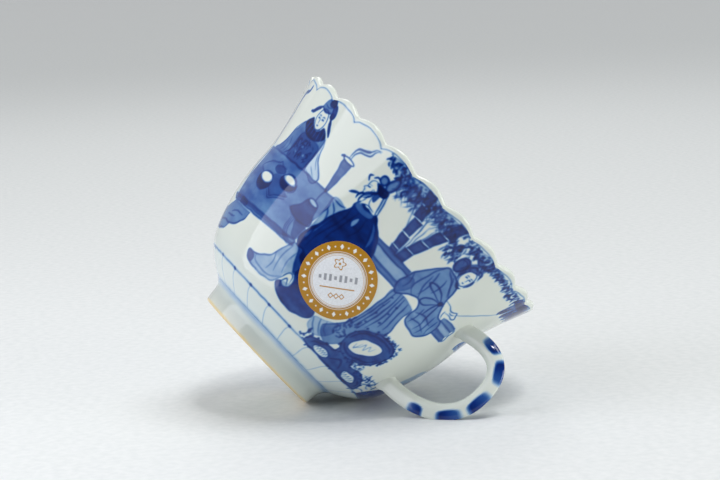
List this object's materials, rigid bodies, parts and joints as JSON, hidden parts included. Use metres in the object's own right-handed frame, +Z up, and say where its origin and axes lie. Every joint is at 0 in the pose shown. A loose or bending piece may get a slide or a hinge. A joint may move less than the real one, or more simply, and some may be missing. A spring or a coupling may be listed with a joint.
{
  "type": "teacup",
  "caption": "Small porcelain teacup with a flared petal-moulded lip, a turned foot ring and a loop handle, painted in underglaze blue, with a round paper label on the wall.",
  "frame": {"origin": "centre of the foot ring's resting face", "axes": "+Z up along the cup's axis, +X towards the handle"},
  "size_m": [0.0978, 0.085, 0.0613],
  "materials": {
    "glaze": "glossy, slightly greenish white glaze with underglaze cobalt painting",
    "foot_glaze": "glossy glaze, bare tan biscuit on the resting edge",
    "label_paper": "smooth matt coated paper",
    "label_gold": "satin gold print on paper"
  },
  "bodies": {
    "root": {"bowl": "glaze", "foot_ring": "foot_glaze", "handle": "glaze", "upper_handle_joint": "glaze", "lower_handle_joint": "glaze", "label_field": "label_paper", "label_border": "label_gold"}
  },
  "joints": []
}
